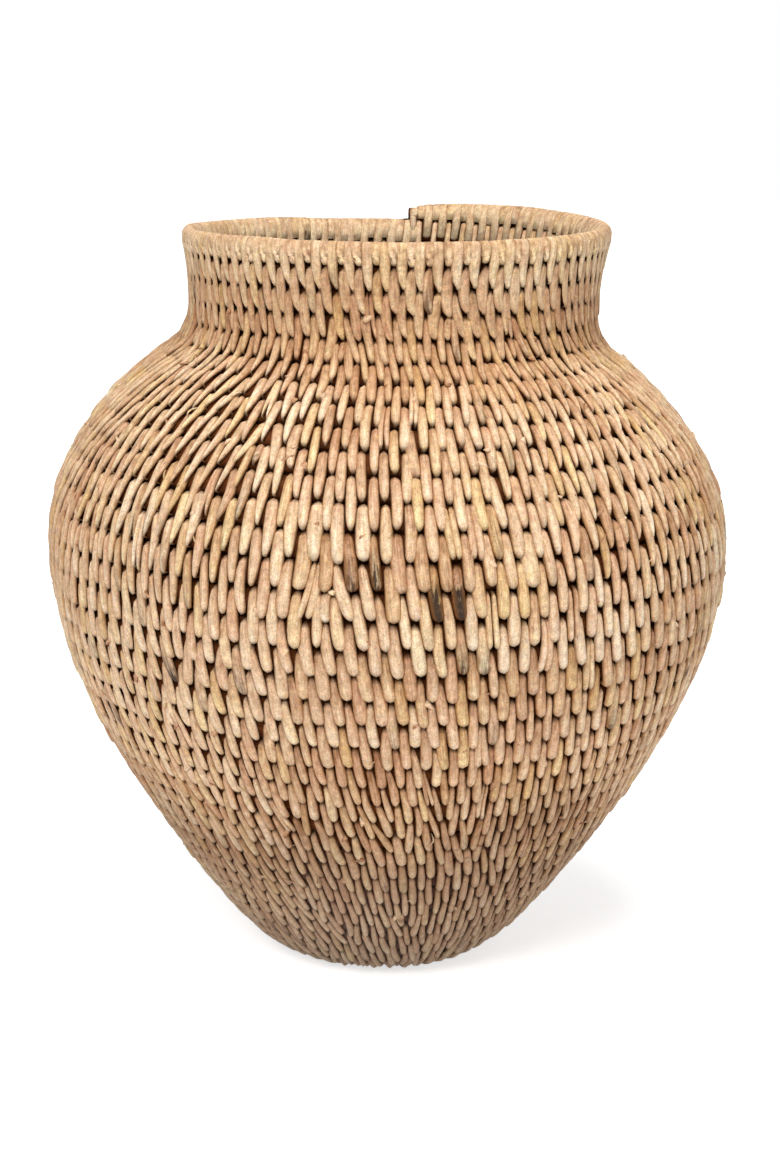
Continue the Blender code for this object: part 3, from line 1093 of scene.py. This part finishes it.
def dust_and_shade_group():
    """Dust, wear and painted shade of the whole pot: greyer and darker towards the base, partly dust and
    partly painted shade where the lower wall faces down, darker at the neck, patchy everywhere.
    """
    tree, maker, given = new_tree("ShaderNodeTree", "age_of_pot", ("Colour",), ("Colour", "Dust"))
    place = maker.add("ShaderNodeTexCoord").outputs["Object"]
    uneven = maker.in_range(maker.noise(place, 14.0, 3.0)["Fac"], 0.3, 0.7, -0.022, 0.022)
    level = maker.sum_up("ADD", maker.parts(place)["Z"], uneven)
    # Darker low on the wall, partly dust and partly painted shade where the wall faces down, and darker at
    # the neck.
    dusted_and_shaded = maker.blend(given["Colour"], maker.ramp(maker.in_range(level, 0.0, DUST_AND_SHADE_HEIGHT), DUST_AND_SHADE))
    dust = maker.in_range(level, 0.10, 0.0)
    dusted_and_shaded = maker.blend(dusted_and_shaded, DUST_COLOUR, maker.times(dust, 0.42), "MIX")
    maker.add("NodeGroupOutput", {"Colour": dusted_and_shaded, "Dust": dust})
    return tree


def new_material(name, settings):
    """A new material with these plain settings, its maker and its shader's inputs."""
    material = bpy.data.materials.new(name)
    material.use_nodes = True
    shader = material.node_tree.nodes["Principled BSDF"].inputs
    for label, value in settings.items():
        shader[label].default_value = value
    return material, Maker(material.node_tree), shader


def finish_fibre(maker, shader, body, groups, blotches, height, relief):
    """Gives blotches, dust and painted shade by height, and relief to the body colour of fibre, and says
    how dusty it is.
    """
    mottle, dust_and_shade = groups
    mottled = maker.group(mottle, {"Colour": body, "Scale": blotches})["Colour"]
    dusted_and_shaded = maker.group(dust_and_shade, {"Colour": mottled})
    maker.feed(shader["Base Color"], dusted_and_shaded["Colour"])
    bump = maker.add("ShaderNodeBump", {"Strength": 0.6, "Distance": relief, "Height": height})
    maker.feed(shader["Normal"], bump.outputs["Normal"])
    return dusted_and_shaded["Dust"]


# Colours of a strip, from its darkest streaks to its palest
STRIP_COLOURS = (
    (0.00, (0.250, 0.112, 0.046)), (0.25, (0.460, 0.265, 0.145)), (0.50, (0.680, 0.456, 0.280)),
    (0.75, (0.840, 0.645, 0.425)), (1.00, (0.940, 0.800, 0.590)),
)
PINK_TINT, GOLD_TINT = (0.98, 0.90, 0.885), (1.01, 1.0, 0.81)
# The first colour is the fibre's own stain; the second is painted shade where a strip passes into the wall
# and where its foot turns in.
STAIN_COLOUR, BURIED_SHADE_COLOUR = (0.020, 0.012, 0.009), (0.042, 0.011, 0.002)
# The first colour is painted shade along the rounded edges of a strip; the second is dark specks of its own
# fibre.
EDGE_SHADE_COLOUR, SPECK_COLOUR = (0.37, 0.152, 0.034), (0.30, 0.17, 0.10)
STRIP_BLOTCHES, STRIP_RELIEF = 330.0, 0.0004

# The rods' colours are partly their own and partly painted shade for the holes they are seen through; the
# groove colour is painted shade in the seams between turns.
ROD_COLOURS_AND_SHADE = ((0.25, (0.045, 0.010, 0.002)), (0.55, (0.120, 0.034, 0.008)), (0.8, (0.23, 0.082, 0.024)))
GROOVE_SHADE_COLOUR = (0.022, 0.006, 0.001)
ROD_BLOTCHES, ROD_RELIEF = 190.0, 0.0006


def strip_material(grain, *groups):
    """Split strips of the sewing: golden to pinkish tan and brown, with grain, specks and stains, with
    painted light at their feet and painted shade towards their heads, along their edges and where they pass
    into the wall.
    """
    material, maker, shader = new_material("split_strips", {"Specular IOR Level": 0.12})
    times, in_range, blend = maker.times, maker.in_range, maker.blend
    names = ("tone", "hue", "stain", "share", "side", "number", "buried")
    tone, hue, stain, along, side, number, buried_shade_mask = (maker.value_of(name) for name in names)
    inputs = {"Along": along, "Across": side, "Number": number, "Fineness": 4.0}
    fibres = maker.group(grain, inputs)
    streaks = in_range(fibres["Streaks"], 0.25, 0.75, -0.5, 0.5)
    level = times(tone, 0.19, times(streaks, 0.78, 0.52))
    # Painted light and shade: paler at the proud foot, which catches the light, and browner towards the
    # sunk head.
    level = maker.sum_up("ADD", level, in_range(along, 0.15, 0.95, 0.19, -0.12))
    body = maker.ramp(level, STRIP_COLOURS)
    body = blend(body, PINK_TINT, in_range(hue, 0.1, 1.1))
    body = blend(body, GOLD_TINT, in_range(hue, -0.1, -1.1))
    uneven = in_range(fibres["Streaks"], 0.62, 0.42, 0.35, 1.7)
    worn = times(times(stain, in_range(along, 0.75, 0.05)), uneven)
    body = blend(body, STAIN_COLOUR, maker.sum_up("MINIMUM", worn, 0.96), "MIX")
    # Painted shade where the strip passes into the wall and where its foot turns in.
    body = blend(body, BURIED_SHADE_COLOUR, times(buried_shade_mask, 0.92), "MIX")
    # Painted shade: darker towards the strip's edges, where its round sides and the grooves between strips
    # turn away from the light.
    edge = maker.sum_up("POWER", maker.sum_up("ABSOLUTE", side), 2.2)
    body = blend(body, EDGE_SHADE_COLOUR, times(edge, 0.72), "MIX")
    body = blend(body, SPECK_COLOUR, times(fibres["Specks"], 0.25), "MIX")
    dust = finish_fibre(maker, shader, body, groups, STRIP_BLOTCHES, fibres["Height"], STRIP_RELIEF)
    gloss = in_range(fibres["Streaks"], 0.3, 0.7, 0.42, 0.58)
    maker.feed(shader["Roughness"], maker.between(gloss, 0.85, times(dust, 0.8)))
    return material


def rods_material(grain, *groups):
    """Dark foundation rods, seen only through the gaps of the sewing and at the cut end. Their dark colour
    partly stands in for the shade in those holes, and the seams between turns get painted shade.
    """
    material, maker, shader = new_material("foundation_rods", {"Specular IOR Level": 0.05})
    run, depth, rise = (maker.value_of(name) for name in ("run", "depth", "rise"))
    around = maker.sum_up("ARCTAN2", rise, depth)
    fibres = maker.group(grain, {"Along": run, "Across": around, "Fineness": 5.0})
    # Painted shade in the seams above and below the bundle, where one turn meets the next.
    groove = maker.in_range(maker.sum_up("ABSOLUTE", rise), 0.35, 0.9, 0.0, 0.8)
    body = maker.blend(maker.ramp(fibres["Streaks"], ROD_COLOURS_AND_SHADE), GROOVE_SHADE_COLOUR, groove, "MIX")
    finish_fibre(maker, shader, body, groups, ROD_BLOTCHES, fibres["Height"], ROD_RELIEF)
    maker.feed(shader["Roughness"], maker.in_range(fibres["Streaks"], 0.2, 0.8, 0.6, 0.85))
    return material


# Room


WORLD_LIGHT = 0.30
FLOOR_REACH = 6.0
LAMPS_TARGET = Vector((0, 0, 0.2))
LAMPS = (
    ("key_lamp", (-0.66, -2.05, 1.6), 0.8, 33.0),
    ("fill_lamp", (1.9, -1.3, 0.7), 1.4, 7.0),
    ("top_lamp", (0.1, -0.5, 2.4), 1.0, 37.0),
)

CAMERA_PLACE = (0.0, -1.3242, 0.5016)
CAMERA_PITCH = math.radians(77.253)
CAMERA_ROLL = math.radians(1.408)
CAMERA_LENS = 76.92
CAMERA_SHIFT = 0.0031


def seen_rays(maker, *kinds):
    """1 for rays of these kinds and 0 for the rest, which light the pot."""
    rays = maker.add("ShaderNodeLightPath").outputs
    seen = rays["Is Camera Ray"]
    for kind in kinds:
        seen = maker.sum_up("MAXIMUM", seen, rays[kind])
    return seen


def floor_material():
    """Pale floor that keeps the pot's shadow and pales to white away from it."""
    settings = {"Base Color": (0.86, 0.86, 0.86, 1), "Emission Color": (1, 1, 1, 1)}
    settings.update({"Roughness": 0.9, "Specular IOR Level": 0.1})
    material, maker, shader = new_material("pale_floor", settings)
    place = maker.add("ShaderNodeTexCoord").outputs["Object"]
    away = maker.add("ShaderNodeVectorMath", {0: place}, operation="LENGTH").outputs["Value"]
    glow = maker.in_range(away, 0.2, 1.1, 0.66, 1.0)
    maker.feed(shader["Emission Strength"], maker.times(seen_rays(maker, "Is Glossy Ray"), glow))
    return material


def add_room():
    near, far = -FLOOR_REACH, FLOOR_REACH
    corners = [(near, near, 0), (far, near, 0), (far, far, 0), (near, far, 0)]
    floor = mesh_object("floor", corners, [], [(0, 1, 2, 3)], {})
    floor.data.materials.append(floor_material())
    floor.location.z = FLOOR_HEIGHT

    world = bpy.data.worlds.new("studio")
    bpy.context.scene.world = world
    world.use_nodes = True
    maker = Maker(world.node_tree)
    shine = world.node_tree.nodes["Background"].inputs
    shine["Color"].default_value = (1, 1, 1, 1)
    seen = seen_rays(maker, "Is Glossy Ray", "Is Transmission Ray")
    maker.feed(shine["Strength"], maker.between(WORLD_LIGHT, 1.0, seen))

    for name, place, size, power in LAMPS:
        light = bpy.data.lights.new(name, "AREA")
        light.shape = "SQUARE"
        light.size = size
        light.energy = power
        lamp = bpy.data.objects.new(name, light)
        lamp.location = place
        lamp.rotation_mode = "QUATERNION"
        lamp.rotation_quaternion = (LAMPS_TARGET - Vector(place)).to_track_quat("-Z", "Y")
        bpy.context.scene.collection.objects.link(lamp)


def add_camera():
    camera = bpy.data.cameras.new("camera")
    camera.lens = CAMERA_LENS
    camera.sensor_width = 36
    camera.shift_x = CAMERA_SHIFT
    camera.clip_start = 0.05
    camera.clip_end = 50
    stand = bpy.data.objects.new("camera", camera)
    turned = Matrix.Rotation(CAMERA_PITCH, 4, "X") @ Matrix.Rotation(CAMERA_ROLL, 4, "Z")
    stand.matrix_world = Matrix.Translation(CAMERA_PLACE) @ turned
    bpy.context.scene.collection.objects.link(stand)
    bpy.context.scene.camera = stand


# The pot


def add_knot(tree, inputs, template, rods):
    """The start of the coil: a small disc wrapped with strips that meet in its middle."""
    chance = random.Random(SEED + 1)
    wraps = []
    for number in range(KNOT_STITCHES):
        angle = math.tau * number / KNOT_STITCHES
        wrap = Stitch(0)
        wrap.values = dict(
            PLAIN_STRIP,
            foot_angle=angle + chance.gauss(0, 0.05),
            head_angle=angle,
            foot_length=0.0009 + chance.uniform(0, 0.0007),
            head_length=KNOT_RADIUS + 0.0002,
            width=0.0035,
            thickness=STRIP_THICKNESS * 0.9,
            taper=0.75,
            point=0.3,
            tone=chance.gauss(0, 0.5),
            hue=chance.gauss(0, 0.5),
            number=chance.random(),
        )
        wraps.append(wrap)
    sides, radius = KNOT_SIDES, KNOT_RADIUS - RODS_SEAM / 2
    angles = [side * math.tau / sides for side in range(sides)]
    points = [
        (radius * math.cos(angle), radius * math.sin(angle), WALL_THICKNESS / 2 + height)
        for height in (-RODS_HALF_THICKNESS, RODS_HALF_THICKNESS)
        for angle in angles
    ]
    faces = [tuple(range(sides))[::-1], tuple(range(sides, 2 * sides))]
    for side in range(sides):
        after = (side + 1) % sides
        faces.append((side, after, sides + after, sides + side))
    values = {label: [0.0] * len(points) for label in ("run", "depth", "rise")}
    core = mesh_object("start_knot_core", points, [], faces, values)
    core.data.materials.append(rods)
    take_place(core, "start_knot")
    inputs = {**inputs, "Stitch": template}
    take_place(stitches_of(wraps, "start_knot_sewing", inputs, tree), "start_knot")


def build_pot():
    coil = Coil(WallLine())
    stitches = sew(coil)
    guide, section = coil.wall.guide(), rod_section()
    group = wall_place_group()
    sewing, rods = sewing_tree(group), rods_tree(group)
    finishes = grain_group(), mottle_group(), dust_and_shade_group()
    strips, dark_rods = strip_material(*finishes), rods_material(*finishes)
    kinds = {
        "wall": (wall_stitch_rings(1.0, 0.2, 0.75), ROUND_STRIP),
        "wall_pointed": (wall_stitch_rings(0.9, 0.7, 0.3), ROUND_STRIP),
        "wall_close": (wall_stitch_rings(0.3, 0, 0.9), FLAT_STRIP, 0.7),
        "wall_flat": (wall_stitch_rings(0.3, 0, 0), FLAT_STRIP, 0.65),
        "rim_long": (rim_stitch_rings(2), FLAT_STRIP, 0.8),
        "rim_short": (rim_stitch_rings(1), FLAT_STRIP, 0.6),
        "loose_end": (loose_end_rings(), ROUND_STRIP, 0.8, False),
    }
    templates = {kind: strip_template(kind, *made) for kind, made in kinds.items()}
    shared = {"Wall Line": guide, "Rods Half Thickness": RODS_HALF_THICKNESS}
    sewing_inputs = {**shared, "Material": strips}
    rod_inputs = {**shared, "Section": section, "Seam": RODS_SEAM, "Material": dark_rods}
    for first, last, node in coil.spliced_lengths():
        take_place(rods_of(coil, first, last, node + "_rods", rod_inputs, rods), node)
        here = [stitch for stitch in stitches if first <= stitch.head_step < last]
        if last == coil.last:
            here += [stitch for stitch in stitches if stitch.head_step >= last]
        parts = []
        for kind, template in templates.items():
            of_kind = [stitch for stitch in here if stitch.kind == kind]
            if of_kind:
                inputs = {**sewing_inputs, "Stitch": template}
                parts.append(stitches_of(of_kind, f"{node}_{kind}", inputs, sewing))
        take_place(joined(node + "_sewing", parts), node)
    add_knot(sewing, sewing_inputs, templates["wall"], dark_rods)
    for helper in (guide, section, *templates.values()):
        bpy.data.objects.remove(helper, do_unlink=True)


bpy.context.scene.view_settings.view_transform = "Standard"
build_pot()
add_room()
add_camera()
